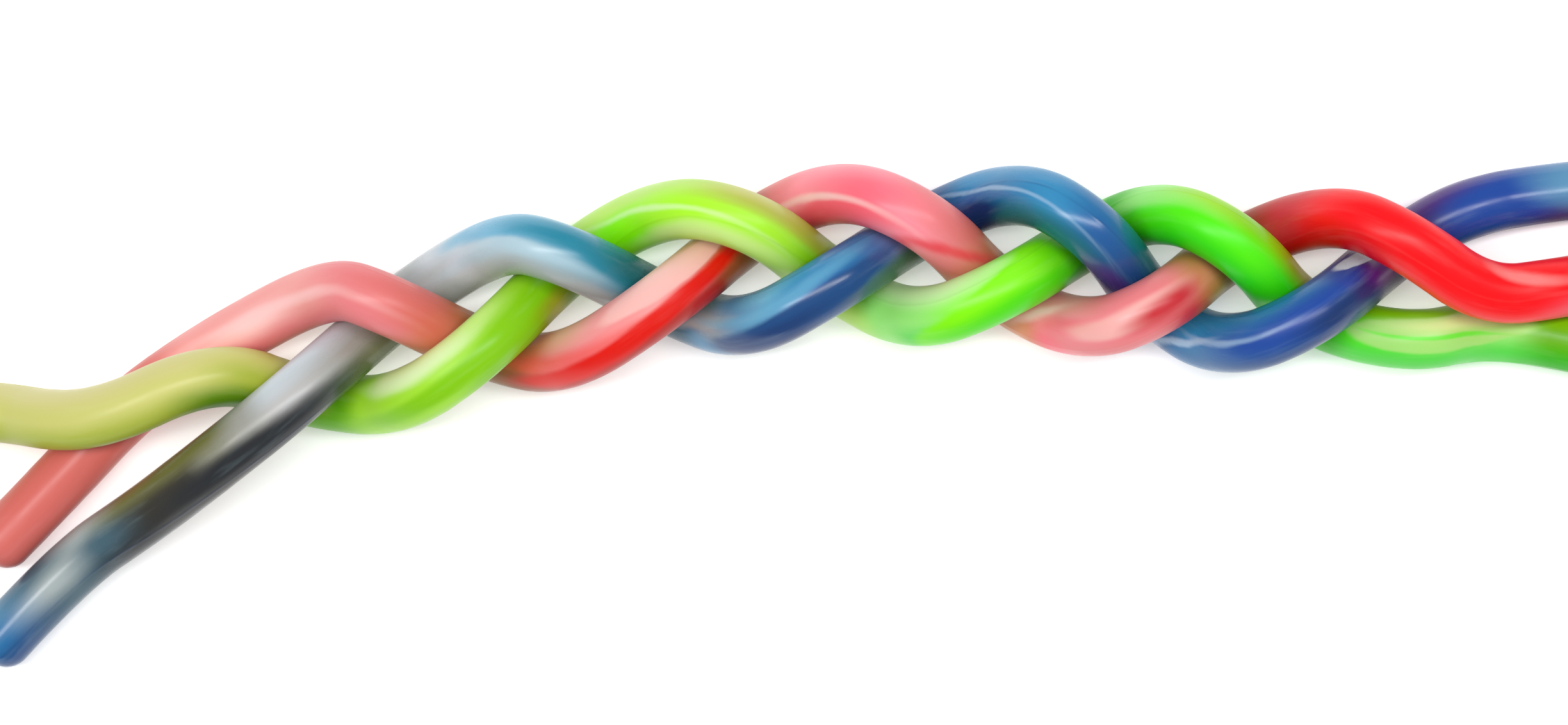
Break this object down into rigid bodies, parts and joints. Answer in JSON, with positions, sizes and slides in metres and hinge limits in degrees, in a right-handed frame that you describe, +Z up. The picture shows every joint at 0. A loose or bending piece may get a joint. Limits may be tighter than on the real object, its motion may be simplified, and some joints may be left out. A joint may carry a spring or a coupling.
{
  "type": "plaited rubber strands",
  "caption": "Flat plait of round, soft, marbled rubber strands that are bent, twisted, stretched and replaited in the hands, lying on its broad side with free ends.",
  "frame": {"origin": "on the table under the middle of the plait's outline", "axes": "+X along the plait towards the end where the three strands lie nearly parallel to it, +Y across the plait, +Z up, square to the table and through the plait's thickness"},
  "size_m": [0.3108, 0.0854, 0.0254],
  "materials": {
    "green_marble": "satin, moulded, with swirls of lime, neon green and cream",
    "blue_marble": "satin, moulded, with swirls of deep blue, pale blue and grey",
    "red_marble": "satin, moulded, with swirls of red, pink and cream"
  },
  "bodies": {
    "root": {"green_strand": "green_marble", "blue_strand": "blue_marble", "red_strand": "red_marble"}
  },
  "joints": []
}
